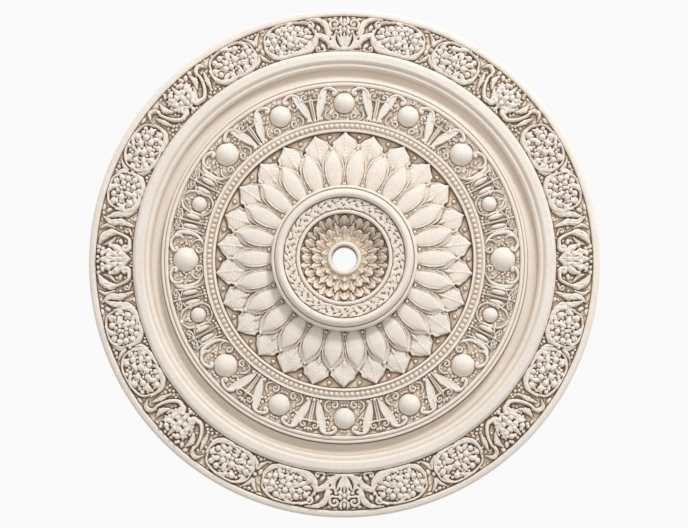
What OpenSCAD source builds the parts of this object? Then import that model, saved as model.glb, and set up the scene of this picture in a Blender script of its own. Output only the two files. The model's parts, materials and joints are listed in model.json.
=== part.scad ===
// Plaster ceiling rose, cast in one piece and fixed face down to a ceiling.
// The ceiling is the plane z = 0, and the face looks down, towards -Z.
// The rose is drawn face up, with depth measured from the ceiling, and turned over at the end.
// Angles on the face run clockwise from the top of the pattern.

/* [Rose] */
// Outside diameter; a larger rose has a wider plain cove
rose_d = 1200; // [1190:10:1440]
// Depth from the ceiling to the crest of the boss
boss_h = 82; // [76:1:99]
// Least thickness of the plaster in front of the hollow behind the boss
shell_t = 14; // [11:1:17]

/* [Cable hole and bowl] */
// Diameter of the hole for the cable and the hook
hole_d = 58; // [46:1:62]
// Outer radius of the bowl round the hole
bowl_r = 103; // [98:1:106]
// Depth from the ceiling to the floor of the bowl
bowl_h = 48; // [44:1:54]
// Number of leaves in each tier of the bowl
bowl_leaves = 10; // [8:1:11]

/* [Boss] */
// Outer radius of the boss
boss_r = 171; // [165:1:175]
// Thickness of the round roll on the boss
roll_d = 29; // [24:1:31]
// Number of laurel leaves in each row of the band inside the roll
laurel_leaves = 24; // [18:1:28]

/* [Leaf wreath] */
// Width of the wreath, from the boss to the bead course
wreath_w = 132; // [124:1:150]
// Number of inner petals, and of the pointed leaves between them
petals = 26; // [22:1:28]
// Depth from the ceiling to the ground of the wreath
wreath_h = 24; // [20:1:29]
// Height of the inner petals above that ground
petal_h = 24; // [18:1:28]
// Height of the pointed outer leaves above that ground
leaf_h = 13; // [10:1:15]

/* [Bead course] */
// Width of the bead course with its two fillets
bead_w = 27; // [24:1:32]
// Depth from the ceiling to the top of the fillets
bead_h = 37; // [34:1:42]

/* [Boss frieze] */
// Width of the middle frieze
mid_w = 83; // [80:1:96]
// Depth from the ceiling to the ground of the middle frieze
mid_h = 24; // [20:1:28]
// Radius of a large round boss
big_boss_r = 26; // [22:1:28]
// Radius of a small round boss
small_boss_r = 17; // [14:1:18]
// Width of the two rolls outside the middle frieze
rolls_w = 17; // [15:1:20]

/* [Cove and bands] */
// Depth from the ceiling to the bottom of the cove
cove_h = 10; // [8:1:12]
// Width of the sloping fascia
fascia_w = 13; // [11:1:15]
// Width of the step outside the fascia
step_w = 11; // [9:1:12]
// Width of the smooth band inside the outer frieze
band_w = 16; // [14:1:18]
// Depth from the ceiling to the smooth band
band_h = 36; // [33:1:42]

/* [Outer frieze] */
// Width of the outer frieze
frieze_w = 87; // [84:1:92]
// Depth from the ceiling to the ground of the outer frieze
frieze_h = 20; // [16:1:24]
// Number of palmettes
palmettes = 8; // [7:1:8]
// Thickness of the vine that rings the fruit
vine_d = 11; // [8:1:12]
// Diameter of one fruit
fruit_d = 18; // [15:1:19]

/* [Rim] */
// Width of the rim moulding
rim_w = 16; // [14:1:18]
// Depth from the ceiling to the front of the rim
rim_h = 28; // [24:1:33]

/* [Back] */
// Width of the land round the hole
hole_land_w = 29; // [24:1:32]
// Number of ribs across the hollow behind the boss
ribs = 8; // [4:1:12]
// Width of one rib
rib_w = 16; // [12:1:20]

/* [Hidden] */
plaster = [0.9, 0.86, 0.81];
$fn = 96;
over = 1;
// How far a carved piece is rooted in its ground
root = 3;

rose_r = rose_d / 2;
hole_r = hole_d / 2;

// Radii of the zones, from the hole outwards
wreath_r = boss_r + wreath_w;
mid_r0 = wreath_r + bead_w;
mid_r1 = mid_r0 + mid_w;
cove_r0 = mid_r1 + rolls_w;
frieze_r1 = rose_r - rim_w;
frieze_r0 = frieze_r1 - frieze_w;
band_r0 = frieze_r0 - band_w;
step_r0 = band_r0 - step_w;
fascia_r0 = step_r0 - fascia_w;

// Boss: roll, laurel band and the thin ridge at the lip of the bowl
roll_r = roll_d / 2;
roll_mid = boss_r - roll_r;
roll_axis_h = boss_h - roll_r;
ridge_r = 4.5;
laurel_r0 = bowl_r + 2 * ridge_r;
laurel_r1 = boss_r - roll_d;
laurel_h = boss_h - 14;

// Places on the middle frieze, for one quarter of the face
big_boss_angles = [24, 48];
small_boss_angle = 69;
lyre_angles = [12, 36];
column_angles = [60, 77];
boss_line_r = mid_r0 + 0.51 * mid_w;

// One quarter of the pattern repeated by mirroring in both axes
function four_ways(a) = [a, 180 - a, 180 + a, 360 - a];

function arc(c, r, a0, a1, n) = [for (i = [0 : n]) let (a = a0 + (a1 - a0) * i / n)
    [c[0] + r * cos(a), c[1] + r * sin(a)]];

// Places its children at a clockwise angle and a radius, at a depth, with +X outwards
module at(angle, radius, depth) {
    rotate([0, 0, 90 - angle])
        translate([radius, 0, depth])
            children();
}

// A round moulding run round the face
module ring_roll(radius, depth, r) {
    rotate_extrude()
        translate([radius, depth])
            circle(r = r);
}

// A pointed, keeled leaf lying along +X from the origin: the lens where two large spheres meet,
// sunk until its outline on the ground has this length and width and its keel this height
module leaf(length, width, height) {
    keel_r = (length * length / 4 + height * height) / (2 * height);
    sunk = keel_r - height;
    edge_r = (length * length + width * width) / (4 * width);
    ball_r = sqrt(edge_r * edge_r + sunk * sunk);
    translate([length / 2, 0, 0])
        intersection() {
            translate([0, edge_r - width / 2, -sunk])
                sphere(r = ball_r);
            translate([0, width / 2 - edge_r, -sunk])
                sphere(r = ball_r);
            translate([-length, -length, -root])
                cube([2 * length, 2 * length, height + 2 * root]);
        }
}

// Part of a ball that stands proud of the ground by its rise
module dome(r, rise) {
    intersection() {
        translate([0, 0, rise - r])
            sphere(r = r);
        translate([-r, -r, -root])
            cube([2 * r, 2 * r, rise + 2 * root]);
    }
}

// A scroll: part of a round rod bent to an arc
module scroll(radius, rod_r, a0, a1) {
    rotate([0, 0, a0])
        rotate_extrude(angle = a1 - a0)
            translate([radius, 0])
                circle(r = rod_r);
}

// The face as one turned profile, from the axis out to the rim, with a flat back.
// The edges of the profile that a round moulding covers run inside that moulding.
module turned_body() {
    fillet = 5;
    roll_a = 4.3;
    roll_b = 3.7;
    cove_drop = band_h - 10 - cove_h;
    bowl = [[0, 0], [0, bowl_h], [bowl_r - 28, bowl_h], [bowl_r - 12, bowl_h + 5],
        [bowl_r + 1, laurel_h - 5], [bowl_r + 3, laurel_h - 1]];
    boss = [[laurel_r0 - 2, laurel_h], [roll_mid, laurel_h], [boss_r - 4, roll_axis_h],
        [boss_r - 4, wreath_h]];
    beads = [[wreath_r, wreath_h], [wreath_r, bead_h - 1], [wreath_r + 1, bead_h],
        [wreath_r + fillet, bead_h], [wreath_r + fillet + 1, bead_h - 5],
        [mid_r0 - fillet - 1, bead_h - 5], [mid_r0 - fillet, bead_h - 1],
        [mid_r0, bead_h - 1], [mid_r0, mid_h]];
    rolls = [[mid_r1 + 1, mid_h], [mid_r1 + 1, mid_h + 5], [cove_r0 - 1, mid_h + 3],
        [cove_r0 - 1, cove_h]];
    cove = arc([fascia_r0 - cove_drop, cove_h + cove_drop], cove_drop, -90, 0, 6);
    bands = [[fascia_r0, band_h - 8], [step_r0, band_h - 4], [step_r0, band_h - 2],
        [band_r0, band_h - 2], [band_r0, band_h]];
    frieze = [[frieze_r0 - 2, band_h], [frieze_r0, band_h - 2], [frieze_r0, frieze_h],
        [frieze_r1, frieze_h], [frieze_r1 + 2, rim_h - 1]];
    rim = [[frieze_r1 + 5, rim_h], [rose_r - 6, rim_h - 1], [rose_r - 1, rim_h - 6],
        [rose_r, rim_h - 9], [rose_r, 0]];
    rotate_extrude()
        polygon(concat(bowl, boss, beads, rolls, cove, bands, frieze, rim));
    ring_roll(roll_mid, roll_axis_h, roll_r);
    ring_roll(bowl_r + ridge_r, laurel_h, ridge_r);
    ring_roll(mid_r1 + roll_a, mid_h + 4, roll_a);
    ring_roll(cove_r0 - roll_b, mid_h + 2.5, roll_b);
    ring_roll((wreath_r + mid_r0) / 2, bead_h - 4.5, 4.2);
}

// The hollow behind the boss, which saves plaster, crossed by ribs
module hollow_back() {
    inner_r = hole_r + hole_land_w;
    outer_r = boss_r - 4 - shell_t;
    top_h = roll_axis_h - shell_t;
    difference() {
        rotate_extrude()
            polygon([[inner_r, -over], [inner_r, bowl_h - shell_t], [bowl_r - 14, bowl_h - shell_t],
                [laurel_r0, laurel_h - shell_t - 8], [outer_r - 18, top_h], [outer_r - 8, top_h],
                [outer_r, top_h - 8], [outer_r, -over]]);
        for (i = [0 : ribs - 1])
            rotate([0, 0, 360 * (i + 0.5) / ribs])
                translate([0, -rib_w / 2, -2 * over])
                    cube([boss_r, rib_w, boss_h]);
    }
}

// Oval of vine round a cluster of fruit, between two palmettes
module fruit_roundel() {
    oval_w = 122;
    oval_h = frieze_w - 15;
    turn_r = oval_h / 2;
    run = (oval_w - oval_h) / 2;
    for (s = [-1, 1]) {
        translate([0, s * run, 0])
            rotate([0, 0, s > 0 ? 0 : 180])
                rotate_extrude(angle = 180)
                    translate([turn_r, 0])
                        circle(d = vine_d);
        translate([s * turn_r, 0, 0])
            rotate([90, 0, 0])
                cylinder(d = vine_d, h = 2 * run, center = true);
    }
    for (i = [-1 : 1], s = [-1, 1])
        translate([s * (12 - abs(i)), i * (fruit_d + 5), 0])
            sphere(d = fruit_d);
    for (s = [-1, 1])
        translate([0, s * 42, 0])
            sphere(d = fruit_d - 3);
}

// Palmette of five leaves springing from a bud, with a scroll on each side
module palmette() {
    for (a = [-56, -28, 0, 28, 56])
        rotate([0, 0, a])
            translate([6, 0, 0])
                leaf(frieze_w - 24 - abs(a) / 8, 16, 15);
    sphere(r = 10);
    for (s = [-1, 1])
        translate([1, s * 38, 0])
            mirror([0, s > 0 ? 0 : 1, 0])
                scroll(7, 3, -160, 100);
}

module outer_frieze() {
    bay = 360 / palmettes;
    mid = (frieze_r0 + frieze_r1) / 2;
    for (i = [0 : palmettes - 1]) {
        at(i * bay, frieze_r0 + 13, frieze_h)
            palmette();
        for (s = [-1, 1])
            at((i + 0.5) * bay + s * 7.7, mid, frieze_h)
                fruit_roundel();
    }
}

// Round boss with a C scroll above and below it on each side
module framed_boss(r) {
    dome(r, 0.8 * r);
    for (s = [-1, 1])
        mirror([0, s > 0 ? 0 : 1, 0]) {
            translate([0.24 * mid_w, r + 11, 0])
                scroll(9, 3, 20, 260);
            translate([-0.26 * mid_w, r + 8, 0])
                scroll(9, 3, 60, 300);
        }
}

// Lyre: a stem under a scrolled cap, between two leaves that flare outwards
module lyre() {
    stem = mid_w - 24;
    translate([-stem / 2 - 4, 0, 0])
        rotate([0, 90, 0])
            cylinder(r = 3.4, h = stem);
    translate([-stem / 2 - 3, 0, 0])
        sphere(r = 7);
    for (s = [-1, 1]) {
        translate([-stem / 2 + 2, s * 7, 0])
            rotate([0, 0, s * 17])
                leaf(stem - 2, 15, 12);
        translate([stem / 2 - 2, s * 12, 0])
            scroll(5, 2.2, 0, s * 230);
    }
}

// Short barrel column: a rod between two swelling leaves
module column() {
    tall = mid_w - 26;
    translate([-tall / 2, 0, 0])
        rotate([0, 90, 0])
            cylinder(r = 3, h = tall);
    for (s = [-1, 1]) {
        translate([s * tall / 2, 0, 0])
            sphere(r = 6);
        translate([-tall / 2 + 4, s * 11, 0])
            leaf(tall - 10, 12, 10);
    }
}

module middle_frieze() {
    for (a = [0, 90, 180, 270])
        at(a, boss_line_r, mid_h)
            framed_boss(big_boss_r);
    for (q = big_boss_angles, a = four_ways(q))
        at(a, boss_line_r, mid_h)
            framed_boss(big_boss_r);
    for (a = four_ways(small_boss_angle))
        at(a, boss_line_r - 8, mid_h)
            dome(small_boss_r, 0.9 * small_boss_r);
    for (q = lyre_angles, a = four_ways(q))
        at(a, boss_line_r, mid_h)
            lyre();
    for (q = column_angles, a = four_ways(q))
        at(a, boss_line_r, mid_h)
            column();
}

// Petals round the boss, pointed leaves between them and a pearl in every gap
module leaf_wreath() {
    pitch = 360 / petals;
    petal_root = 20;
    petal_l = 0.7 * wreath_w + petal_root;
    leaf_l = 0.6 * wreath_w;
    for (i = [0 : petals - 1]) {
        at((i + 0.5) * pitch, boss_r - petal_root, wreath_h)
            leaf(petal_l, 0.83 * 2 * PI * (boss_r + petal_l / 2 - petal_root) / petals, petal_h);
        at(i * pitch, wreath_r - 2 - leaf_l, wreath_h)
            leaf(leaf_l, 0.82 * 2 * PI * (wreath_r - leaf_l / 2) / petals, leaf_h);
        at((i + 0.5) * pitch, wreath_r - 11, wreath_h)
            sphere(r = 5);
        at(i * pitch, boss_r + 5, wreath_h + 3)
            sphere(r = 6);
    }
}

// Two rows of laurel leaves in the band inside the roll
module laurel_band() {
    mid = (laurel_r0 + laurel_r1) / 2;
    for (i = [0 : laurel_leaves - 1], s = [-1, 1])
        at(360 * (i + 0.25 * s) / laurel_leaves, mid + s * 7, laurel_h)
            rotate([0, 0, 90 - s * 24])
                translate([-13, 0, 0])
                    leaf(26, 10, 6);
}

// Two tiers of leaves in the bowl and a bead round the hole
module bowl_tiers() {
    ring_roll(hole_r + 5.5, bowl_h, 4.5);
    for (i = [0 : bowl_leaves - 1]) {
        at(i * 360 / bowl_leaves, hole_r + 11, bowl_h)
            leaf(32, 18, 12);
        at((i + 0.5) * 360 / bowl_leaves, bowl_r - 56, bowl_h)
            leaf(27, 21, 8);
    }
}

module ceiling_rose() {
    color(plaster)
        rotate([180, 0, 0])
            difference() {
                union() {
                    turned_body();
                    outer_frieze();
                    middle_frieze();
                    leaf_wreath();
                    laurel_band();
                    bowl_tiers();
                }
                hollow_back();
                translate([0, 0, -over])
                    cylinder(r = hole_r, h = boss_h);
            }
}

ceiling_rose();
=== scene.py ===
import json
import math

import bpy
import numpy as np
from mathutils import Matrix, Vector


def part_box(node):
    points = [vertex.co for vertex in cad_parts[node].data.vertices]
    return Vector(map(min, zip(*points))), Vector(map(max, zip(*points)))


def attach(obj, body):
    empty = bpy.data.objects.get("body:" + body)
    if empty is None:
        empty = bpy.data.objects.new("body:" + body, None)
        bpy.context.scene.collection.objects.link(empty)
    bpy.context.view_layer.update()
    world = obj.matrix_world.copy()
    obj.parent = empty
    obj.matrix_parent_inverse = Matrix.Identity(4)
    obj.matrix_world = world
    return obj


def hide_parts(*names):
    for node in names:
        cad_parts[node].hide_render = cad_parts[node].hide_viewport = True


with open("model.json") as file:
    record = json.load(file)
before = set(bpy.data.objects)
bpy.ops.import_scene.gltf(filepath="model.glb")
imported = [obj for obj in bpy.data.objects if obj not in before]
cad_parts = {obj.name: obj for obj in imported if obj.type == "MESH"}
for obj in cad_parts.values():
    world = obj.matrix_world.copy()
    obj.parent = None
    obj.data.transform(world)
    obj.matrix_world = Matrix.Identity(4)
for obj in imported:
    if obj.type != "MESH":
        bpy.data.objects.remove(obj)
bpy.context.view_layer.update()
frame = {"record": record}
box_low, box_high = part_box("ceiling_rose")

# Lengths are in mm and depths are measured down from the ceiling; a mesh is made in metres at the end.
ROSE_R = (box_high.x - box_low.x) * 500
HOLE_R = frame["record"]["mounts"][1]["dims"]["r_mm"]
GROUND_FRUIT, GROUND_BOSS, GROUND_WREATH, GROUND_LAUREL = 20, 24, 24, 68
FRUIT_MID_R, BOSS_MID_R = 540.5, 371.5
PETALS, LAUREL_PAIRS, LAUREL_R = 26, 24, 127
RIBS, RIB_HALF = 8, 8
EDGE = 1.3  # the stretch in which a motif's outline falls to the ground
SLAB = 4  # how far a carved slab reaches up behind its ground
# The back and the outer wall get almost no painted shade.
PLAIN = 0.1  # how hollow the back and the outer wall count as
rng = np.random.default_rng(41)


# ---------------------------------------------------------------- curves
def curve(points, per_span=6):
    """A smooth curve through the points: each span is the Catmull-Rom cubic of the four points round it."""
    p = np.asarray(points, float)
    p = np.vstack([2 * p[0] - p[1], p, 2 * p[-1] - p[-2]])
    t = np.linspace(0, 1, per_span, endpoint=False)[:, None]
    a, b, c, d = (p[i : len(p) - 3 + i, None] for i in range(4))
    spans = 0.5 * (
        2 * b + (c - a) * t + (2 * a - 5 * b + 4 * c - d) * t**2 + (3 * b - a - 3 * c + d) * t**3
    )
    return np.vstack([spans.reshape(-1, 2), p[-2]])


def spiral(x, y, r, start, turns, end=0.3):
    """Points of a spiral: the radius shrinks evenly from r to end times r while the angle runs through
    the turns."""
    t = np.linspace(0, 1, max(8, int(abs(turns) * 14)))
    a = start + 2 * math.pi * turns * t
    rr = r * (1 - (1 - end) * t)
    return np.stack([x + rr * np.cos(a), y + rr * np.sin(a)], 1)


def blur(a, n, wrap):
    """The mean of a over windows of 2n+1 rows and columns, done three times; columns wrap round a whole
    ring."""
    for _ in range(3):
        for axis in (0, 1):
            pad = [(0, 0), (0, 0)]
            pad[axis] = (n + 1, n)
            b = np.pad(a, pad, mode="wrap" if wrap and axis else "edge")
            c = np.cumsum(b, axis)
            k = 2 * n + 1
            a = (
                np.take(c, range(k, c.shape[axis]), axis) - np.take(c, range(c.shape[axis] - k), axis)
            ) / k
    return a


def bevel(q, size):
    """1 inside an outline and falling to 0 at it: one less q, times size, over EDGE. q is the share of
    the way out and size the half width."""
    return np.clip((1 - q) * size / EDGE, 0, 1)


# ---------------------------------------------------------------- relief
class Relief:
    """Heights over a strip of the face: x runs clockwise round it and y outward; each motif raises h
    where it is higher."""

    def __init__(self, x, y):
        self.xs, self.ys = x, y
        self.x, self.y = np.meshgrid(x, y)
        self.h = np.zeros_like(self.x)

    def window(self, x0, x1, y0, y1):
        i = np.searchsorted(self.ys, [y0, y1])
        j = np.searchsorted(self.xs, [x0, x1])
        return slice(i[0], i[1] + 1), slice(j[0], j[1] + 1)

    def lift(self, s, z):
        self.h[s] = np.maximum(self.h[s], z)

    def ball(self, x, y, a, top, b=None, turn=0.0, cleft=0.0, fall=0.9):
        """Half an ellipsoid with radii a and b, turned: its height is top less fall times the smaller
        radius, times one less the root of one less q. q sums the squared shares of the radii, and
        cleft is the depth of a groove along it."""
        b = b or a
        m = max(a, b)
        s = self.window(x - m, x + m, y - m, y + m)
        dx, dy = self.x[s] - x, self.y[s] - y
        c, n = math.cos(turn), math.sin(turn)
        along, over = dx * c + dy * n, dy * c - dx * n
        q = (along / a) ** 2 + (over / b) ** 2
        z = top - min(a, b) * fall * (1 - np.sqrt(np.clip(1 - q, 0, 1)))
        z -= cleft * np.exp(-((over / 1.1) ** 2))
        self.lift(s, np.where(q < 1, z, 0) * bevel(np.sqrt(q), min(a, b)))

    def stroke(self, points, width, top, kind="round", lines=3.0, thick=None, cut=2.0):
        """A band along a curve: its height is top less 0.9 of the half width, times one less the root of
        one less the squared share of the way out, less cut times the groove of its kind."""
        p = curve(points)
        k = np.linspace(0, 1, len(p))
        w = np.interp(k, np.linspace(0, 1, len(width)), width)
        z0 = np.interp(k, np.linspace(0, 1, np.size(top)), np.atleast_1d(top))
        m = w.max()
        s = self.window(p[:, 0].min() - m, p[:, 0].max() + m, p[:, 1].min() - m, p[:, 1].max() + m)
        d = np.diff(p, axis=0)
        ex, ey = self.x[s][..., None] - p[:-1, 0], self.y[s][..., None] - p[:-1, 1]
        t = np.clip((ex * d[:, 0] + ey * d[:, 1]) / (d**2).sum(1), 0, 1)
        side = ex * d[:, 1] - ey * d[:, 0]
        share = np.hypot(ex - t * d[:, 0], ey - t * d[:, 1]) / (w[:-1] + t * np.diff(w))
        best = share.argmin(-1)[..., None]
        q = np.take_along_axis(share, best, -1)[..., 0]
        t = np.take_along_axis(t, best, -1)[..., 0]
        q = q * np.sign(np.take_along_axis(side, best, -1)[..., 0] + 1e-9)
        along = (best[..., 0] + t) / (len(p) - 1)
        wide = np.interp(along, k, w)
        z = np.interp(along, k, z0)
        if kind == "acanthus":
            notch = (0.5 - 0.5 * np.cos(2 * math.pi * (lines * along - 1.5 * abs(q)))) ** 3
            z = z - 0.9 * cut * notch * np.clip(wide / 5, 0, 1)
            q = q * (1 + 0.2 * notch)
        z = z - 0.9 * np.minimum(wide, thick or 99) * (1 - np.sqrt(np.clip(1 - q**2, 0, 1)))
        z = z - cut * groove(kind, q, along, lines) * np.clip(wide / 4, 0, 1)
        self.lift(s, np.where(abs(q) < 1, z, 0) * bevel(abs(q), wide))

    def scroll(self, arm, x, y, r, turns, width, top, eye=0.35):
        """A band that follows the arm and then winds into a spiral round x, y, with a ball for its eye."""
        last = np.asarray(arm[-1], float) - (x, y)
        wound = spiral(x, y, r, math.atan2(last[1], last[0]), turns)
        path = np.vstack([np.asarray(arm, float)[:-1], wound]) if len(arm) > 1 else wound
        self.stroke(path, width, top)
        self.ball(x, y, max(eye * r, 1.8), (top if np.isscalar(top) else top[-1]) + 0.5)


def groove(kind, q, along, lines):
    """How deep the tool marks go, as a share of the cut: lines along the band, slanting veins with a
    middle rib, a middle rib alone, or a dished face inside a rim."""
    if kind == "lined":
        return 0.5 - 0.5 * np.cos(math.pi * lines * q)
    if kind == "veined":
        veins = 0.5 - 0.5 * np.cos(2 * math.pi * (lines * along - 1.1 * abs(q)))
        return 0.7 * veins + 0.9 * np.exp(-((q / 0.12) ** 2))
    if kind == "acanthus":
        return 0.8 * np.exp(-((q / 0.14) ** 2))
    if kind == "dished":
        return np.clip(1.25 - (abs(q) / 0.72) ** 4, 0, 1)
    return 0 * q


def fill_gaps(relief, size, top, tries):
    """Small leaflets at every angle wherever a patch of the ground is still bare."""
    for _ in range(tries):
        x, y = rng.uniform(relief.xs[0], relief.xs[-1]), rng.uniform(relief.ys[0] + 2, relief.ys[-1] - 2)
        reach = size * 0.62
        if relief.h[relief.window(x - reach, x + reach, y - reach, y + reach)].max() < 0.5:
            relief.ball(x, y, size, top + rng.uniform(-1, 1), size * 0.62, rng.uniform(0, math.pi), 0.8)


def sided(x, s, wide=1, tall=1):
    """Gives a function that moves a motif's points to the line at x, on its side s, stretched wide and
    tall."""
    return lambda *points: [(x + s * wide * px, tall * py) for px, py in points]


def mirrored(draw, relief, x, *more):
    """Draws a motif and its mirror image about the line at x."""
    for s in (1, -1):
        draw(relief, x, s, *more)


# ---------------------------------------------------------------- fruit frieze
def fruit(relief, x, y, a, b, count):
    """Round fruit, cleft fruit, long petals and grape clusters packed in an ellipse, the middle ones
    highest, smaller ones below."""
    spots, low = [], []
    for _ in range(count * 60):
        t, k = rng.uniform(0, 2 * math.pi), math.sqrt(rng.uniform(0, 1))
        p = (x + a * k * math.cos(t), y + b * k * math.sin(t))
        if all(math.hypot(p[0] - o[0], p[1] - o[1]) > 13.4 for o in spots):
            spots.append(p)
    for _ in range(count * 40):
        t, k = rng.uniform(0, 2 * math.pi), math.sqrt(rng.uniform(0, 1))
        p = (x + a * k * math.cos(t), y + b * k * math.sin(t))
        if all(math.hypot(p[0] - o[0], p[1] - o[1]) > (8.6 if o in spots else 7) for o in spots + low):
            low.append(p)
            relief.ball(*p, rng.uniform(3.8, 4.9), 10.5 - 3 * k**2, fall=1.3)
    for i, (px, py) in enumerate(spots):
        edge = math.hypot((px - x) / a, (py - y) / b)
        top = 17.5 - 5 * edge**2 + rng.uniform(-2.2, 1.2)
        turn = math.atan2(py - y, px - x) + rng.uniform(-0.6, 0.6)
        kind = i % 7
        if kind == 1:
            relief.ball(px, py, 10.2, top, 7.8, turn, 3.2, 1.2)
        elif kind == 3:
            relief.ball(px, py, 12, top - 1, 6.6, turn, 0, 1.2)
        elif kind == 5:
            for k in range(3):
                t = turn + k * 2.1
                relief.ball(px + 5.6 * math.cos(t), py + 5.6 * math.sin(t), 5.4, top - k * 0.8, fall=1.3)
        else:
            relief.ball(px, py, rng.uniform(7.2, 9.2), top, fall=1.3)


def palmette_vase(relief, x, s):
    """Half of a fluted vase of leaves with two eyed curls and a finial; s is the side it goes to."""
    path = sided(x, s)
    for end, w in ((0, 4.2), (9, 4.4), (17.5, 4.6)):
        relief.stroke(
            path((end * 0.15, -40), (end * 0.6, -18), (end, 4 - end * 0.35)), (2.2, w, w, 2), (11, 14.5),
            "veined", 2
        )
    relief.stroke(path((6, -38), (20, -31), (27, -16), (21, 0)), (3, 6.5, 7, 2.5), 12.5, "acanthus", 4)
    relief.scroll(
        path((6, 4), (14, 12), (30, 12), (33, 24)), x + s * 22, 24, 10.5, s * 0.95, (3, 3.6, 3.4, 2.6),
        14.5, 0.3
    )
    relief.ball(x + s * 9, 34, 4, 12)
    relief.ball(x, 30, 4.2, 14.5, 9)
    relief.ball(x + s * 31, 2, 4, 12.5)
    for px, py, r in (
        (0, 9, 6.2), (9, 14, 5.6), (10, 2, 5.8), (19, 4, 4.8), (0, 20, 5.4), (31, -8, 4.6),
        (32, -19, 4.4), (39, -30, 4)
    ):
        relief.ball(x + s * px, py, r, 16.5 - 0.12 * px, fall=1.3)
    relief.stroke(path((4, 20), (8, 28), (7, 40)), (2.5, 4.4, 2), 12.5, "acanthus", 3)
    relief.ball(x + s * 33, 36, 5, 9.5, 4)
    relief.stroke(path((0, -41), (14, -41), (28, -40)), (3, 3, 2), 8)


def palmette_bud(relief, x, s):
    """Half of a tall veined leaf with berries beside it, a bud below and a C-scroll that opens into a
    leaf."""
    path = sided(x, s)
    relief.stroke(
        path((0, -32), (0, -8), (0, 14), (0, 38)), (3, 8.5, 8, 2.5), (13, 15.5, 14), "veined", 4
    )
    relief.stroke(path((5, -24), (17, -14), (22, -2), (17, 8)), (3, 7.5, 7.5, 3), (13, 15), "lined", 3)
    relief.stroke(path((7, -12), (24, 4), (31, 24)), (3, 7.5, 2.5), (12, 14, 12), "acanthus", 4)
    relief.stroke(path((6, -22), (24, -14), (37, 2)), (3, 7, 2.5), (11, 13, 11), "acanthus", 4)
    for px, py, r in ((10, 30, 5.2), (9, 38, 4), (24, 38, 4.4), (9, 17, 4.6), (25, 20, 5)):
        relief.ball(x + s * px, py, r, 15, fall=1.3)
    for px, py, r in (
        (0, -16, 6.6), (11, -20, 5.8), (0, 0, 7.8), (12, -5, 7.2), (23, 0, 6.8), (10, 11, 7.2),
        (0, 17, 6.6), (21, 14, 6.6)
    ):
        relief.ball(x + s * px, py, r, 17.8 - 0.08 * px, fall=1.3)
    relief.ball(x + s * 17, 26, 7.4, 16.5, fall=1.3)
    relief.ball(x + s * 27, 33, 4.5, 12)
    relief.ball(x + s * 16, 13, 4.6, 14.5)
    relief.ball(x, -35, 6, 14)
    relief.ball(x + s * 8, -38, 3.8, 11)
    for px, py in ((33, 14), (36, 5), (30, 6), (40, -3), (34, -6), (30, -14)):
        relief.ball(x + s * px, py, 3.4, 12)
    relief.scroll(
        path((62, 30), (63, 8), (55, -15), (40, -31), (24, -31)), x + s * 21, -23, 8.4, -s * 1.1,
        (3, 5.5, 5.5, 4.2, 3.2, 2.6), 14
    )
    relief.stroke(path((43, 0), (49, 14), (46, 32)), (4, 8, 2), (13, 14.5, 12), "acanthus", 4)
    relief.stroke(path((60, 20), (66, 33), (78, 36), (88, 24)), (3, 6, 5.5, 2), 13, "acanthus", 4)
    relief.stroke(path((68, -22), (72, -4), (77, 18)), (3, 7, 2), 12, "acanthus", 4)
    for px, py in ((60, -32), (68, -37), (75, -31), (66, -27), (84, -38)):
        relief.ball(x + s * px, py, 4, 10.5)


def palmette_fan(relief, x, s):
    """Half of a fan of five swelling petals over two volutes, with a big drooping leaf outside."""
    path = sided(x, s)
    relief.stroke(
        path((0, -38), (0, -6), (0, 18), (0, 34)), (2.4, 6, 8.8, 3.4), (13, 17, 14.5), "veined", 3
    )
    relief.stroke(
        path((1.5, -36), (9, -8), (16, 13), (18, 31)), (2.2, 5.6, 8.6, 3), (13, 16, 14), "veined", 3
    )
    relief.stroke(
        path((3, -34), (14, -20), (26, -6), (34, 10)), (2.2, 6.8, 9.4, 3), (13, 15, 13), "lined", 3
    )
    for px, py, r in (
        (0, -14, 6.8), (12, -15, 6), (0, 1, 7), (13, -1, 7.4), (26, -4, 6), (7, 14, 6.4), (20, 13, 7),
        (0, 27, 6), (32, 10, 5.4), (12, 28, 5.6), (24, 27, 5), (5, 38, 4.2), (18, 37, 4.4)
    ):
        relief.ball(x + s * px, py, r, 18 - 0.07 * px, fall=1.3)
    relief.scroll(
        path((64, 6), (60, -14), (50, -32), (34, -36)), x + s * 29, -26, 9, -s * 1.1,
        (3, 5, 5, 4.4, 3.2, 2.6), 14
    )
    relief.stroke(
        path((36, 36), (50, 29), (62, 12), (62, -6)), (3, 9, 10, 3), (13, 15, 12.5), "acanthus", 3, 9
    )
    relief.stroke(path((34, 24), (40, 10), (52, 0)), (2, 4.5, 2), 10.5, "lined", 2)
    relief.scroll(path((62, -36), (76, -32)), x + s * 70, -26, 6.2, s * 0.9, (2.6, 2.8, 2.4), 11.5)
    relief.stroke(
        path((84, -38), (90, -8), (86, 14), (96, 36)), (3, 9, 8, 2), (11, 14, 12), "acanthus", 4, 8
    )
    relief.stroke(
        path((96, 26), (106, 6), (112, -20), (124, -36)), (3, 8, 7.5, 3), (13, 13, 10), "acanthus", 5
    )
    relief.stroke(path((70, 38), (78, 24), (74, 4)), (2.5, 4.5, 2), 11, "lined", 2)
    relief.ball(x + s * 76, -10, 3.6, 11)
    relief.ball(x + s * 104, 37, 4.2, 10)


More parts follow.
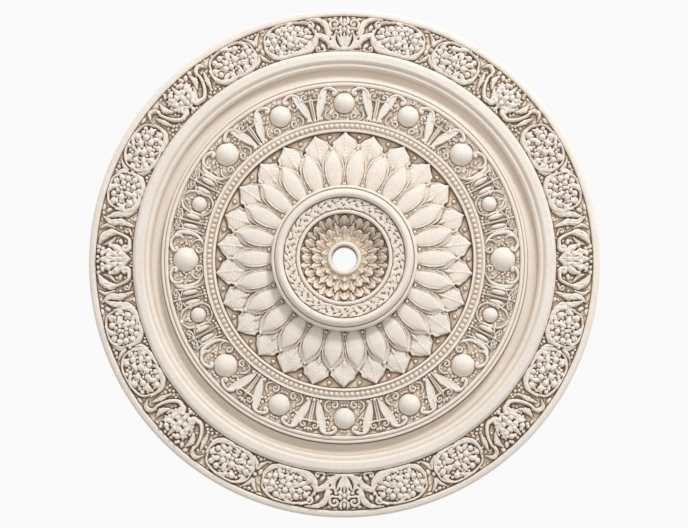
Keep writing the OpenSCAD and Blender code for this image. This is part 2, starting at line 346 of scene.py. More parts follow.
def roundel(relief, x, s, centre, half):
    """A ring of vine round packed fruit: thick striated leaves on the inner side, a thin stem on the
    outer side."""
    c = x + s * centre
    path = sided(c, s, half, 39)
    relief.stroke(
        path((-0.97, 0.3), (-0.95, -0.4), (-0.72, -0.8), (-0.3, -0.95), (0.08, -0.8)),
        (2.6, 6, 7.5, 6.5, 2), 13.5, "acanthus", 4, 6
    )
    relief.stroke(
        path((-0.1, -0.99), (0.35, -0.98), (0.75, -0.76), (0.97, -0.2), (0.92, 0.24)),
        (2.6, 6, 7.2, 5, 2), 12.5, "acanthus", 4, 6
    )
    relief.stroke(
        path((0.97, 0.1), (0.86, 0.6), (0.45, 0.98), (-0.2, 1), (-0.75, 0.75), (-0.95, 0.1)),
        (2.4, 2.8, 3, 2.8, 3, 2.4), 11.5
    )
    relief.stroke(path((-0.3, 1.02), (0.0, 0.86), (0.22, 0.6)), (2.4, 5, 2), 13, "acanthus", 3, 4)
    relief.stroke(path((0.5, 0.98), (0.72, 0.66), (0.66, 0.4)), (2.4, 4.6, 1.8), 12, "acanthus", 3, 4)
    fruit(relief, c + s * 2, 0, half * 0.88, 32, 40)


def long_leaves(relief, x, s):
    """The two long striated leaves beside a vase palmette and the volutes under and inside them."""
    path = sided(x, s)
    relief.stroke(
        path((14, -38), (32, -28), (46, -10), (62, -2), (76, -10)), (3, 6.5, 8, 8, 3), (11, 14, 15, 13),
        "acanthus", 4, 7
    )
    relief.stroke(
        path((68, -12), (92, -28), (120, -38), (146, -34)), (5, 9, 8, 2.5), (14.5, 14, 12), "acanthus", 4,
        7
    )
    relief.stroke(
        path((40, -18), (38, 2), (44, 24), (60, 37), (84, 41)), (3, 7.5, 8, 6, 3), (11, 14.5, 14, 12),
        "acanthus", 4, 7
    )
    relief.scroll(path((96, 38), (84, 35)), x + s * 78, 25, 8.6, s * 1.0, (2.4, 3.4, 3, 2.4), 13.5, 0.45)
    relief.scroll(path((52, -40), (62, -41)), x + s * 66, -34, 6.4, s * 0.95, (2.4, 2.8, 2.4), 11)
    relief.ball(x + s * 50, -37, 4, 9)


def spandrel(relief, x, s):
    """Leaflets and berries in the gap between two neighbouring roundels."""
    path = sided(x, s)
    relief.ball(x, 1, 4.6, 12.5)
    relief.stroke(path((2, 12), (5, 24), (16, 37)), (2.4, 5, 2), 10.5, "lined", 2)
    relief.stroke(path((2, -12), (6, -24), (18, -37)), (2.4, 5, 2), 10.5, "lined", 2)
    relief.ball(x, 36, 5, 10.5, 4)
    relief.ball(x, -36, 4.4, 10)
    relief.ball(x + s * 9, 38, 3.4, 9)
    relief.ball(x + s * 8, -39, 3.2, 9)


def fruit_frieze(relief):
    """A quarter turn: vase palmette at 0 degrees, bud palmette at 45 and fan palmette at 90, two roundels
    between each pair."""
    eighth = math.radians(45) * FRUIT_MID_R
    for x, palmette, centre, half in (
        (0, palmette_vase, 130, 64), (eighth, palmette_bud, 147, 59), (2 * eighth, palmette_fan, 163, 46)
    ):
        mirrored(roundel, relief, x, centre, half)
        mirrored(palmette, relief, x)
    mirrored(long_leaves, relief, 0)
    for x in (eighth / 2, eighth * 1.5):
        mirrored(spandrel, relief, x)
    fill_gaps(relief, 8, 9, 900)
    fill_gaps(relief, 5, 6.5, 1200)


# ---------------------------------------------------------------- boss frieze
def dome(relief, x, y, r):
    """A plain half ball with three beads above it and three below."""
    relief.ball(x, y, r, 21 if r > 20 else 17)
    for side in (1, -1):
        for k in (-1, 0, 1):
            relief.ball(x + k * 6.5, y + side * (r + 5.5 - abs(k) * 1.2), 3.4, 9.5)


def dome_side(relief, x, s):
    """Beside a dome: an upper scroll with a ball eye, a lower spiral, and a cluster of buds between them."""
    path = sided(x, s)
    relief.scroll(
        path((54, 16), (50, 31), (36, 38.5), (23, 34)), x + s * 25, 25, 8, s * 0.62,
        (3, 4.4, 4.4, 3.6, 3, 2.6), 12.5, 0.48
    )
    relief.scroll(
        path((38, -12), (47, -20), (48, -32), (36, -40), (26, -39)), x + s * 25, -30, 9, -s * 1.15,
        (2.4, 3, 3.2, 3, 2.6, 2.2), 11.5, 0.25
    )
    relief.ball(x + s * 36, 1, 3.8, 11)
    relief.ball(x + s * 31, 6, 3.2, 10)
    relief.ball(x + s * 43, 4, 3.6, 10.5)
    relief.ball(x + s * 33, -7, 3.2, 10)
    relief.ball(x + s * 37, 13, 3.4, 10, 5.5, s * 0.4)
    relief.ball(x + s * 38, 22, 3, 9.5)
    relief.ball(x + s * 36, -24, 4.6, 8.5, 3, s * 0.8)


def lyre(relief, x, s):
    """Half of a lyre: a split stem, a cap of two volutes and a bud, a dished flaring leaf and balls at
    the foot."""
    path = sided(x, s)
    relief.stroke(
        path((34, 30), (26.5, 14), (18.5, -8), (11, -32)), (5.5, 10.4, 10, 4.4), (12.5, 12.5, 11),
        "dished", cut=2.6, thick=4
    )
    relief.stroke(path((2.6, 12), (2.4, -8), (2.2, -33)), (2.6, 2.2, 2), 12.5)
    relief.scroll(
        path((1, 15), (8, 13), (18, 16), (20, 23)), x + s * 13, 23.5, 6.6, s * 0.9, (2.6, 2.6, 2.4, 2),
        12.5, 0.34
    )
    relief.ball(x, 33, 3.6, 13, 5.4)
    relief.ball(x + s * 6.6, 33, 3.2, 12, 4.4, -s * 0.5)
    relief.ball(x + s * 17, -34, 5.2, 11.5)
    relief.ball(x, -36, 5.2, 13.5)
    relief.ball(x + s * 8.5, -37, 3.6, 12)
    relief.ball(x, 20, 2.8, 12)


def column(relief, x, s):
    """Half of a thin rod between four volutes and a trefoil foot, with a barrel-shaped leaf and a slender
    S-scroll beside it."""
    path = sided(x, s)
    relief.stroke(path((0, 34), (0, 0), (0, -32)), (2.3, 2.3, 2.3), 13.5)
    relief.scroll(
        path((1, 25), (10, 24), (20, 27)), x + s * 15, 31, 5.6, s * 0.95, (2.3, 2.3, 2), 12, 0.36
    )
    relief.scroll(path((1, 27), (6, 26)), x + s * 6.5, 32, 4.4, s * 0.8, (2, 2.2, 2), 12, 0.36)
    relief.ball(x, 38, 3.2, 12.5, 4)
    relief.ball(x + s * 12, -2, 6, 13, 20, 0, 0)
    relief.stroke(path((9, 20), (20, 12), (21, -12), (15, -26)), (2, 2.6, 2.6, 2), 9.5)
    relief.ball(x, -36, 4.6, 13.5)
    relief.ball(x + s * 8.5, -36, 4.2, 12)
    relief.ball(x + s * 17, -33, 4, 11)
    relief.ball(x + s * 6.5, -27, 2.6, 10)


def wide_scroll(relief, x, s):
    """Between a column and its large dome: a tall C of a dished leaf with a lining of buds."""
    path = sided(x, s)
    relief.stroke(
        path((48, 33), (60, 22), (64, 2), (60, -20), (47, -36)), (2.4, 5, 5.6, 4.6, 2.4), 12, "dished",
        cut=2
    )
    relief.stroke(path((66, 33), (70, 14), (69, -14), (64, -36)), (2, 3, 3, 2), 10.5)
    relief.ball(x + s * 51, 14, 3.6, 10, 7, -s * 0.3, 0.8)
    relief.ball(x + s * 52, -5, 3.4, 9.5, 7, s * 0.2, 0.8)


def small_cup(relief, x, s):
    """Half of the scrolled cup that holds a small dome, and the bud above it."""
    path = sided(x, s)
    relief.scroll(
        path((2, -38), (14, -35), (25, -22), (27, -2)), x + s * 23, 5, 5, s * 0.8, (2.4, 3, 3, 2.6, 2),
        11.5, 0.4
    )
    relief.stroke(path((24, 12), (19, 26), (8, 35)), (2.4, 3.4, 2.2), 11)
    relief.ball(x, 23, 3.4, 12.5, 8)
    relief.ball(x + s * 5.5, 18, 3, 11, 5, s * 0.6)


def boss_frieze(relief):
    """A quarter turn: large domes at 0, 24, 48 and 90 degrees, lyres at 12 and 36, and a small dome at 69
    between two columns."""
    deg = math.radians(1) * BOSS_MID_R
    for a in (0, 24, 48, 90):
        mirrored(dome_side, relief, a * deg)
    for a in (12, 36):
        mirrored(lyre, relief, a * deg)
    for a in (62, 76):
        mirrored(column, relief, a * deg)
    wide_scroll(relief, 48 * deg, 1)
    wide_scroll(relief, 90 * deg, -1)
    mirrored(small_cup, relief, 69 * deg)
    dome(relief, 69 * deg, -6, 18)
    for a, size in ((0, 25.5), (24, 26), (48, 28.5), (90, 30.5)):
        dome(relief, a * deg, 0.5, size)
    fill_gaps(relief, 7.5, 6.5, 900)
    fill_gaps(relief, 4.6, 4.5, 900)


# ---------------------------------------------------------------- wreath, laurel and bowl
def folded(a, count, shift=0.0):
    """The angle from the nearest of count evenly spaced lines, the first at shift pitches."""
    pitch = 2 * math.pi / count
    return ((a / pitch - shift + 0.5) % 1 - 0.5) * pitch


def leaf_field(x, r, radii, widths, heights, rim, rib, veins):
    """A leaf over its outline: height from a table by radius, less the squared share of the half width,
    with rim, rib and veins."""
    w = np.interp(r, radii, widths, left=0, right=0)
    q = abs(x) / np.maximum(w, 0.01)
    z = np.interp(r, radii, heights) - 2.6 * q**2
    z += rim * (np.exp(-(((q - 0.93) / 0.06) ** 2)) - 0.9 * np.exp(-(((q - 0.78) / 0.07) ** 2)))
    z += rib * np.exp(-((x / 1.3) ** 2))
    z += veins * np.cos(2 * math.pi * (r / 8.5 + 1.6 * q)) * np.clip(1 - q, 0, 1)
    return np.where((q < 1) & (w > 0.3), z, 0) * bevel(q, np.maximum(w, 3))


def pearl(x, r, at, size, top):
    """A round pearl at radius at on the line x = 0."""
    q = (x**2 + (r - at) ** 2) / size**2
    z = top - size * 0.9 * (1 - np.sqrt(np.clip(1 - q, 0, 1)))
    return np.where(q < 1, z, 0) * bevel(np.sqrt(q), size)


def outer_leaves(a, r):
    """The outer leaves, each turned, pushed out and lifted a little differently; where two overlap the
    higher one shows."""
    radii = (222, 246, 258, 268, 276, 283, 289, 294, 298, 302)
    widths = (22, 30, 32, 32, 30, 25, 17, 9.5, 5, 1)
    heights = (13, 13, 13, 12.8, 12.4, 11.6, 10.6, 9.8, 9.2, 9)
    pitch = 2 * math.pi / PETALS
    turn = rng.uniform(-0.013, 0.013, PETALS)
    out = rng.uniform(-1, 2.2, PETALS)
    lift = rng.uniform(-0.9, 1.4, PETALS)
    near = np.round(a / pitch).astype(int)
    z = 0 * r
    for k in (-1, 0, 1):
        i = (near + k) % PETALS
        x = r * np.sin(a - (near + k) * pitch - turn[i])
        lobed = x * (1 + 0.06 * np.sin(r / 2.6 + 2.3 * i + 1.7 * np.sign(x)))
        leaf = leaf_field(lobed, r + out[i], radii, widths, heights, rim=2.0, rib=1.5, veins=0.34)
        z = np.maximum(z, np.where(leaf > 0, leaf + lift[i] + 0.9 * np.sin(r / 9 + 2.0 * i + x / 11), 0))
    return z


def wreath_height(a, r):
    """Pointed outer leaves under as many petals set half a pitch round from them, with pearls between the
    tips."""
    xo, xi = r * np.sin(folded(a, PETALS)), r * np.sin(folded(a, PETALS, 0.5))
    under = leaf_field(
        xi, r, (170, 185, 200, 220, 236, 246, 254, 260, 265), (17, 23, 25.5, 27, 25, 20, 13, 7, 0.5),
        (17, 20, 21.5, 21, 19, 17.5, 16, 15, 14), rim=1.4, rib=0, veins=0
    )
    petal = leaf_field(
        xi, r, (170, 182, 196, 214, 228, 238, 246, 252, 256), (12, 17, 20.5, 22, 19.5, 15, 9.5, 4.5, 0.5),
        (20, 24, 26, 26.5, 25, 23, 21, 19.5, 18), rim=1.6, rib=0, veins=0
    )
    small = np.maximum(pearl(xi, r, 291.5, 4.6, 9.5), pearl(xi, r, 261, 4.2, 19.5))
    small = np.maximum(small, pearl(xo, r, 177, 4.6, 21))
    drop = leaf_field(
        xo, r, (236, 244, 250, 256), (1.6, 4.6, 4.2, 0.5), (17, 17, 16, 14), rim=0, rib=0, veins=0
    )
    return np.maximum.reduce([outer_leaves(a, r), under, petal, small, drop])


def laurel_height(a, r):
    """A low band of paired leaves crossed by a ribbon, each leaf a turned, tapering ellipse with a middle
    groove."""
    z = 0 * r
    leaves = (
        (0.0, 8.5, 0.42), (0.5, 8.5, 0.42), (0.25, -8.5, -0.42), (0.75, -8.5, -0.42), (0.1, 0.5, -0.5),
        (0.6, -0.5, 0.5)
    )
    for shift, y, turn in leaves:
        x, dy = r * np.sin(folded(a, LAUREL_PAIRS, shift)), r - LAUREL_R - y
        c, n = math.cos(turn), math.sin(turn)
        along, over = x * c + dy * n, dy * c - x * n
        q = (along / 9.5) ** 2 + (over / (4.4 - 0.22 * along)) ** 2
        leaf = 1.0 + 3.6 * np.sqrt(np.clip(1 - q, 0, 1)) - 1.2 * np.exp(-((over / 0.9) ** 2))
        z = np.maximum(z, np.where(q < 1, leaf, 0))
    for s in (1, -1):
        q = (r - LAUREL_R - s * 12 * np.sin(6 * a)) / 1.9
        z = np.maximum(z, np.where(abs(q) < 1, 2.6 + 1.8 * np.sqrt(np.clip(1 - q**2, 0, 1)), 0))
    return z


def tier(a, r, r0, r1, count, shift, rise, half):
    """A ring of round-ended leaves curling up to their tips: height grows with the way out, with a rib
    and two grooves."""
    x = r * np.sin(folded(a, count, shift))
    t = np.clip((r - r0) / (r1 - r0), 0, 1)
    w = half * np.sqrt(np.clip(1 - ((t - 0.45) / 0.55) ** 2, 0, 1)) * (1 - 0.1 * np.cos(5 * math.pi * t))
    q = abs(x) / np.maximum(w, 0.01)
    z = 2 + rise * t**1.4 + 1.6 * np.exp(-(((t - 0.84) / 0.12) ** 2)) - 3.2 * q**2
    z += np.exp(-((x / 1.3) ** 2)) - 1.4 * np.exp(-(((q - 0.52) / 0.13) ** 2))
    return np.where((q < 1) & (w > 0.5) & (r > r0) & (r < r1), z, 0) * bevel(q, w)


def bowl_height(a, r):
    """Leaves curling up the bowl in three rings, those nearest the hole the smallest, with others showing
    between them."""
    rings = (
        (39, 55, 14, 0, 6, 8), (50, 76, 12, 0, 9, 12), (56, 80, 12, 0.5, 7, 9), (74, 99, 16, 0, 9, 12),
        (80, 103, 16, 0.5, 5, 9)
    )
    return np.maximum.reduce(
        [tier(a, r, *one) for one in rings] + [pearl(r * np.sin(folded(a, 12, 0.5)), r, 82, 3.4, 12)]
    )


# ---------------------------------------------------------------- meshes
def mesh_object(name, verts, faces, smooth, hollow):
    """One mesh object in metres, with how hollow each point lies kept as an attribute that sets the painted
    shade of the finish.
    """
    mesh = bpy.data.meshes.new(name)
    mesh.from_pydata((verts * 0.001).tolist(), [], faces)
    mesh.polygons.foreach_set("use_smooth", smooth)
    mesh.attributes.new("hollow", "FLOAT", "POINT").data.foreach_set("value", hollow.astype(np.float32))
    mesh.update()
    obj = bpy.data.objects.new(name, mesh)
    bpy.context.scene.collection.objects.link(obj)
    obj.data.materials.append(plaster)
    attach(obj, "root")
    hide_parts("ceiling_rose")
    return obj


def place(r, a, d):
    """A point at radius r, angle a clockwise from the top of the pattern and depth d: (r sin a, -r cos a,
    -d)."""
    return np.stack([r * np.sin(a), -r * np.cos(a), -d + 0 * r], -1).reshape(-1, 3)


def hollowness(d, wrap, beside):
    """How sunk each point lies, from -1 to 1: the map, with the mouldings beside it, blurred finely and
    widely, each less the map itself, over 1.9 and 7 mm and in shares of 0.62 and 0.5."""
    margin = 16
    wide = np.vstack(
        [np.full((margin, d.shape[1]), beside[0]), d, np.full((margin, d.shape[1]), beside[1])]
    )
    near = (blur(wide, 1, wrap) - wide)[margin:-margin] / 1.9
    far = (blur(wide, 4, wrap) - wide)[margin:-margin] / 7.0
    return np.clip(0.62 * near + 0.5 * far, -1, 1)


def tile(name, r, a, d, floor, whole, beside, painted_shade=0.0):
    """A closed slab: the carved grid of points place(r, a, d) over a floor of one strip, joined by walls."""
    nr, na = d.shape
    angle, radius = np.meshgrid(a, r)
    top = place(radius, angle, d)
    under = np.vstack([place(np.full(na, r[0]), a, floor), place(np.full(na, r[-1]), a, floor)])
    n = na if whole else na - 1
    j = np.arange(n)
    k = (j + 1) % na
    i = np.arange(nr - 1)[:, None] * na
    quads = np.stack([i + j, i + k, i + na + k, i + na + j], -1).reshape(-1, 4)
    b0, b1, e = nr * na, nr * na + na, (nr - 1) * na
    floor_strip = (b0 + j, b1 + j, b1 + k, b0 + k)
    inner_wall = (k, j, b0 + j, b0 + k)
    outer_wall = (e + j, e + k, b1 + k, b1 + j)
    walls = np.vstack([np.stack(corners, 1) for corners in (floor_strip, inner_wall, outer_wall)])
    faces = quads.tolist() + walls.tolist()
    if not whole:
        faces.append([*(np.arange(nr) * na).tolist(), b1, b0])
        faces.append([*(np.arange(nr)[::-1] * na + na - 1).tolist(), b0 + na - 1, b1 + na - 1])
    smooth = np.arange(len(faces)) < len(quads)
    # Painted shade: each point's hollow value, shifted by the band's offset, sets how dark its colour is
    # painted; the floor strip points get zero.
    hollow = np.concatenate([hollowness(d, whole, beside).ravel() + painted_shade, np.zeros(2 * na)])
    return mesh_object(name, np.vstack([top, under]), faces, smooth, hollow)


def quarters(name, draw, mid_r, r0, r1, ground, step, joined, beside, painted_shade):
    """Four quarter turns of a frieze, each the mirror image of the last, made as pieces of joined
    quarters."""
    cols = 2 * round(mid_r * math.pi / 4 / step) + 1
    a = np.linspace(0, math.pi / 2, cols)
    r = np.linspace(r0, r1, round((r1 - r0) / step) + 1)
    relief = Relief(a * mid_r, r - mid_r)
    draw(relief)
    inner_fade = np.clip((relief.y - relief.ys[0] - 1.5) / 2, 0, 1)
    outer_fade = np.clip((relief.ys[-1] - relief.y - 1.2) / 1.8, 0, 1)
    relief.h *= inner_fade * outer_fade
    h = [relief.h, relief.h[:, ::-1]] * 2
    for q in range(0, 4, joined):
        part = np.hstack([m[:, (1 if k else 0) :] for k, m in enumerate(h[q : q + joined])])
        angles = q * math.pi / 2 + np.linspace(0, joined * math.pi / 2, part.shape[1])
        tile(f"{name}_{q // joined + 1}", r, angles, ground + part, ground - SLAB, False, beside, painted_shade)


def ring(name, r0, r1, rows, cols, height, ground, beside, painted_shade=0.0):
    """A whole ring of relief, its height worked out from the angle and the radius."""
    a = np.linspace(0, 2 * math.pi, cols, endpoint=False)
    r = np.linspace(r0, r1, rows)
    angle, radius = np.meshgrid(a, r)
    base = ground(radius)
    return tile(name, r, a, base + height(angle, radius), base.min() - SLAB, True, beside, painted_shade)


# ---------------------------------------------------------------- turned body
def roll(r, d, size, start, stop, n=9):
    """Points of a round roll from one angle to the other, in degrees; 90 faces down."""
    t = np.radians(np.linspace(start, stop, n))
    return [(r + size * math.cos(k), d + size * math.sin(k)) for k in t]


def face_profile():
    """The mouldings from the hole out to the rim as (radius, depth) points; ground under each carved band
    is sunk."""
    return [
        (HOLE_R, 44),
        *roll(34.5, 48, 4.5, 180, 20, 8),
        (40, 46),
        (60, 39),
        (80, 42),
        (104, 58),
        *roll(107.5, 68, 4.2, 200, 10, 8),
        (112, 66),
        (142, 66),
        (142.2, 71),
        (142.7, 75.6),
        (144.3, 79),
        (147, 81.1),
        (150.4, 81.8),
        (154, 81),
        (157, 78.6),
        (159.6, 75),
        (161.3, 71.4),
        (162, 68.6),
        *roll(165.4, 68.4, 3.3, 170, -30, 9),
        (170.6, 60),
        (171, 22),
        (303, 22),
        (303, 36),
        (308, 37),
        (309.5, 33),
        (323.5, 33),
        (325, 36),
        (330, 36),
        (330, 22),
        (413, 22),
        *roll(417.3, 28, 4.3, 185, 20, 8),
        *roll(426, 26.5, 3.7, 160, 10, 7),
        (430, 10.5),
        *[(441 + 16 * math.sin(t), 26 - 16 * math.cos(t)) for t in np.linspace(-0.7, math.pi / 2, 10)],
        (457, 23.6),
        (460.2, 28),
        (462.5, 29),
        (467.2, 29.2),
        (468.4, 29.8),
        (473.4, 35),
        (475.4, 35.8),
        (487.5, 36),
        (490.4, 35.4),
        (492.8, 33.6),
        (494.6, 30.6),
        (497, 28),
        (497, 18.5),
        (584, 18.5),
        (584.5, 25.8),
        (586.5, 27.6),
        (589.5, 28),
        (595, 27.2),
        (598.6, 25),
        (ROSE_R, 21.5),
        (ROSE_R, 0),
    ]


def softened(points, edge=0.7):
    """Adds a point a little before and after every corner, so that each edge catches a narrow light."""
    out = [points[0]]
    for p, q in zip(points[:-1], points[1:]):
        length = math.dist(p, q)
        for t in (edge / length, 1 - edge / length) if length > 5 * edge else ():
            out.append((p[0] + (q[0] - p[0]) * t, p[1] + (q[1] - p[1]) * t))
        out.append(q)
    return out


def profile_hollow(rows):
    """How hollow each point of the face profile lies: the depth of the profile, blurred three times over
    3.5 mm, less its own, over 2.6 mm, and PLAIN on the outer wall."""
    # This sets the painted shade of the turned body: sunk points of the profile are painted darker.
    r, d = rows[:, 0], rows[:, 1]
    line = np.arange(0, ROSE_R + 20, 0.5)
    order = np.argsort(r, kind="stable")
    depth = np.interp(line, r[order], d[order], right=0)
    soft = blur(depth[None], 3, False)[0]
    hollow = np.clip((np.interp(r, line, soft) - d) / 2.6, -1, 1)
    return np.where(r > ROSE_R - 0.1, PLAIN, hollow)


def turned_body(cols=360):
    """The whole cast body as one closed loop of rings: face mouldings, rim, flat back and the hollow with
    its ribs."""
    face = np.array(softened(face_profile()))
    back = [(ROSE_R - 3, 0), (460, 0), (300, 0), (156, 0), (153, 0.3)]
    hollow = [(153, 45.5), (145, 53.5), (135, 53.5), (112, 46), (89, 34), (58.3, 34), (58, 0)]
    hollow_r = np.linspace(152.6, 58.3, 32)
    table = np.array(hollow[:-1])[::-1]
    depths = np.interp(hollow_r, table[:, 0], table[:, 1])
    rows = np.vstack(
        [face, back, np.stack([hollow_r, depths], 1), [(57.8, 0), (HOLE_R + 1, 0), (HOLE_R, 1)]]
    )
    a = np.linspace(0, 2 * math.pi, cols, endpoint=False)
    first = len(face) + len(back)
    radius, depth = np.repeat(rows[:, :1], cols, 1), np.repeat(rows[:, 1:], cols, 1)
    rib = abs(radius * np.sin(folded(a, RIBS, 0.5))) < RIB_HALF
    inside = np.zeros_like(rib)
    inside[first : first + len(hollow_r)] = True
    depth = np.where(rib & inside, 0, depth)
    n = len(rows)
    i = np.arange(n)[:, None]
    j = np.arange(cols)
    next_row, next_col = (i + 1) % n * cols, (j + 1) % cols
    faces = np.stack([i * cols + j, i * cols + next_col, next_row + next_col, next_row + j], -1)
    value = np.concatenate([profile_hollow(face), np.full(n - len(face), PLAIN)])
    verts = place(radius, np.repeat(a[None], n, 0), depth)
    return mesh_object(
        "turned_body", verts, faces.reshape(-1, 4).tolist(), np.ones(n * cols, bool),
        np.repeat(value, cols)
    )


def bead_course(count=164, r=316.5, d=33.5, size=5.2, rings=7, around=12):
    """Beads in their channel: each a small ball of rings by latitude, closed at its two poles."""
    lat = np.linspace(-math.pi / 2, math.pi / 2, rings)[1:-1]
    lon = np.linspace(0, 2 * math.pi, around, endpoint=False)
    x = np.concatenate([[0], np.outer(np.cos(lat), np.cos(lon)).ravel(), [0]]) * size
    y = np.concatenate([[0], np.outer(np.cos(lat), np.sin(lon)).ravel(), [0]]) * size
    z = np.concatenate([[-1], np.repeat(np.sin(lat), around), [1]]) * size
    m, k = len(x), np.arange(around)
    nxt, last = (k + 1) % around, m - 1
    faces = [[0, 1 + q, 1 + p] for p, q in zip(k, nxt)]
    for s in range(rings - 3):
        faces += [
            [1 + s * around + p, 1 + s * around + q, 1 + (s + 1) * around + q, 1 + (s + 1) * around + p]
            for p, q in zip(k, nxt)
        ]
    faces += [[last - around + p, last - around + q, last] for p, q in zip(k, nxt)]
    a = (np.arange(count) + 0.5) * 2 * math.pi / count
    c, s = np.cos(a)[:, None], np.sin(a)[:, None]
    verts = np.stack([(r + y) * s + x * c, -(r + y) * c + x * s, z - d + 0 * c], -1).reshape(-1, 3)
    every = [[v + b * m for v in f] for b in range(count) for f in faces]
    # Painted shade: each bead is painted darker on its side towards the ceiling, where it sits in the
    # channel, and paler at its crown.
    hollow = np.tile(np.clip((z + 1) / size, -0.5, 0.9), count)
    return mesh_object("bead_course", verts, every, np.ones(len(every), bool), hollow)


# ---------------------------------------------------------------- finish and scene
def plaster_finish():
    """Matte cast plaster: cream with faint mottling, painted shade in the hollows from warm brown to near
    black, a little paler on the high points, fine grain."""
    mat = bpy.data.materials.new("plaster")
    mat.use_nodes = True
    nodes, link = mat.node_tree.nodes, mat.node_tree.links.new
    shader = nodes["Principled BSDF"]
    shader.inputs["Specular IOR Level"].default_value = 0.25
    where = nodes.new("ShaderNodeTexCoord").outputs["Object"]

    def noise(scale, detail):
        n = nodes.new("ShaderNodeTexNoise")
        n.inputs["Scale"].default_value = scale
        n.inputs["Detail"].default_value = detail
        link(where, n.inputs["Vector"])
        return n.outputs["Fac"]

    def ramp(value, stops):
        n = nodes.new("ShaderNodeValToRGB")
        while len(n.color_ramp.elements) < len(stops):
            n.color_ramp.elements.new(0.5)
        for e, (at, colour) in zip(n.color_ramp.elements, stops):
            e.position, e.color = at, (*colour, 1)
        link(value, n.inputs["Fac"])
        return n.outputs["Color"]

    def multiplied(a, b):
        n = nodes.new("ShaderNodeMix")  # input 0 is the factor, inputs 6 and 7 and output 2 are colours
        n.data_type, n.blend_type = "RGBA", "MULTIPLY"
        n.inputs[0].default_value = 1
        link(a, n.inputs[6])
        link(b, n.inputs[7])
        return n.outputs[2]

    # Painted shade: the hollow attribute paints the cream darker in the hollows, down to warm brown and near
    # black, and a little paler on the high points.
    hollow = nodes.new("ShaderNodeAttribute")
    hollow.attribute_name = "hollow"
    spread = nodes.new("ShaderNodeMapRange")
    spread.inputs["From Min"].default_value = -1
    link(hollow.outputs["Fac"], spread.inputs["Value"])
    painted_shade = ramp(
        spread.outputs["Result"],
        [
            (0.0, (0.905, 0.835, 0.765)), (0.49, (0.875, 0.795, 0.715)), (0.61, (0.72, 0.595, 0.475)),
            (0.75, (0.42, 0.3, 0.2)), (0.93, (0.2, 0.125, 0.075))
        ],
    )
    mottle = ramp(noise(7, 4), [(0.3, (0.955, 0.95, 0.94)), (0.7, (1, 1, 1))])
    speck = ramp(noise(120, 3), [(0.35, (0.96, 0.955, 0.95)), (0.6, (1, 1, 1))])
    link(multiplied(multiplied(painted_shade, mottle), speck), shader.inputs["Base Color"])
    rough = nodes.new("ShaderNodeMapRange")
    rough.inputs["To Min"].default_value = 0.58
    rough.inputs["To Max"].default_value = 0.78
    link(noise(30, 3), rough.inputs["Value"])
    link(rough.outputs["Result"], shader.inputs["Roughness"])
    grain = nodes.new("ShaderNodeBump")
    grain.inputs["Strength"].default_value = 0.18
    grain.inputs["Distance"].default_value = 0.0012
    link(noise(260, 4), grain.inputs["Height"])
    link(grain.outputs["Normal"], shader.inputs["Normal"])
    return mat


def flat_colour(name, colour, roughness):
    mat = bpy.data.materials.new(name)
    mat.use_nodes = True
    shader = mat.node_tree.nodes["Principled BSDF"]
    shader.inputs["Base Color"].default_value = (*colour, 1)
    shader.inputs["Roughness"].default_value = roughness
    return mat


def surround():
    """White overhead, falling near the horizon to a grey that is bright towards the top of the pattern
    and dim towards its foot."""
    world = bpy.data.worlds.new("surround")
    world.use_nodes = True
    nodes, link = world.node_tree.nodes, world.node_tree.links.new
    background = nodes["Background"]
    background.inputs["Color"].default_value = (0.955, 0.955, 0.955, 1)
    where = nodes.new("ShaderNodeTexCoord")
    split = nodes.new("ShaderNodeSeparateXYZ")
    mix = nodes.new("ShaderNodeMix")
    link(where.outputs["Generated"], split.inputs[0])
    for axis, low, high, start, end, into in (
        ("Y", -1, 1, 0.85, 0.42, "A"), ("Z", 0.45, 0.9, 0, 1, "Factor")
    ):
        ramp = nodes.new("ShaderNodeMapRange")
        for key, value in (("From Min", low), ("From Max", high), ("To Min", start), ("To Max", end)):
            ramp.inputs[key].default_value = value
        link(split.outputs[axis], ramp.inputs["Value"])
        link(ramp.outputs["Result"], mix.inputs[into])
    mix.inputs["B"].default_value = 1
    link(mix.outputs["Result"], background.inputs["Strength"])
    bpy.context.scene.world = world


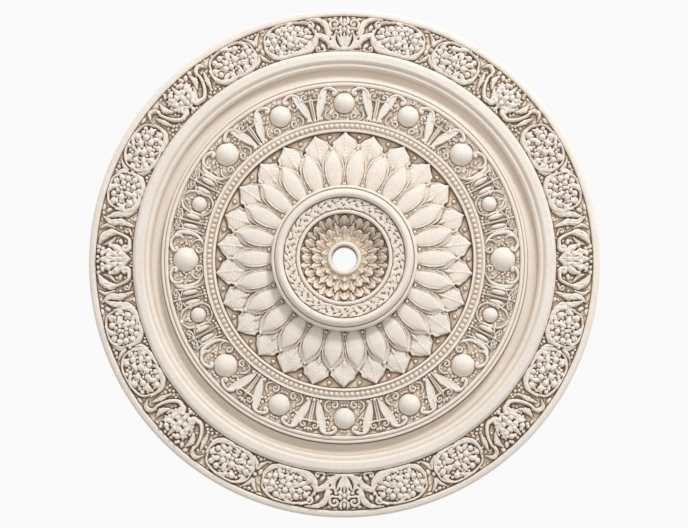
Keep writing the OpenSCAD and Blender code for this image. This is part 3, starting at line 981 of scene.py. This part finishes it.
def studio():
    """A pale floor below the rose, the surround, a broad soft light below it towards the top of the
    pattern, and a weak one above it."""
    bpy.ops.mesh.primitive_plane_add(size=240, location=(0, 0, -4.4))
    floor = bpy.context.object
    floor.name = "floor"
    floor.data.materials.append(flat_colour("floor_paint", (0.7, 0.695, 0.69), 0.9))
    surround()
    for name, spot, size, power in (
        ("key", (1.9, -4.7, -3.7), 1.4, 255), ("top_fill", (1.5, -2.0, 3.0), 3.0, 25)
    ):
        light = bpy.data.lights.new(name, "AREA")
        light.size, light.energy = size, power
        lamp = bpy.data.objects.new(name, light)
        bpy.context.scene.collection.objects.link(lamp)
        lamp.location = spot
        lamp.rotation_euler = (-lamp.location).to_track_quat("-Z", "Y").to_euler()
    bpy.context.scene.view_settings.view_transform = "Standard"


def camera():
    """Below the rose, tilted six degrees, at the distance that gives the soft perspective of a long lens."""
    tilt, away = math.radians(6), 3.754
    c, s = math.cos(tilt), math.sin(tilt)
    cam = bpy.data.objects.new("camera", bpy.data.cameras.new("camera"))
    bpy.context.scene.collection.objects.link(cam)
    aim = Vector((0, 0, -0.028))
    at = aim + away * Vector((0, s, -c))
    cam.matrix_world = Matrix(((1, 0, 0, at.x), (0, -c, s, at.y), (0, -s, -c, at.z), (0, 0, 0, 1)))
    cam.data.lens = 83.72
    cam.data.shift_x, cam.data.shift_y = -0.0005, -0.0071
    bpy.context.scene.camera = cam


plaster = plaster_finish()
turned_body()
# The last argument of each carved band shifts its painted shade: below zero paints its hollows paler, above
# zero darker.
quarters(
    "fruit_frieze", fruit_frieze, FRUIT_MID_R, 496.6, 584.3,
    ground=GROUND_FRUIT, step=1.5, joined=1, beside=(35, 28), painted_shade=-0.17,
)
quarters(
    "boss_frieze", boss_frieze, BOSS_MID_R, 329.6, 413.6,
    ground=GROUND_BOSS, step=1.36, joined=2, beside=(36, 31), painted_shade=-0.36,
)
ring(
    "leaf_wreath", 169.5, 303.4, rows=84, cols=1092, height=wreath_height,
    ground=lambda r: GROUND_WREATH + 0 * r, beside=(56, 37), painted_shade=-0.06,
)
ring(
    "laurel_band", 111.5, 142.6, rows=26, cols=640, height=laurel_height,
    ground=lambda r: GROUND_LAUREL + 0 * r, beside=(72, 74),
)
ring(
    "bowl_leaves", 38, 104.5, rows=54, cols=600, height=bowl_height,
    ground=lambda r: np.interp(r, (38, 60, 80, 104.5), (44, 41, 44, 60)), beside=(49, 70), painted_shade=0.2,
)
bead_course()
studio()
camera()
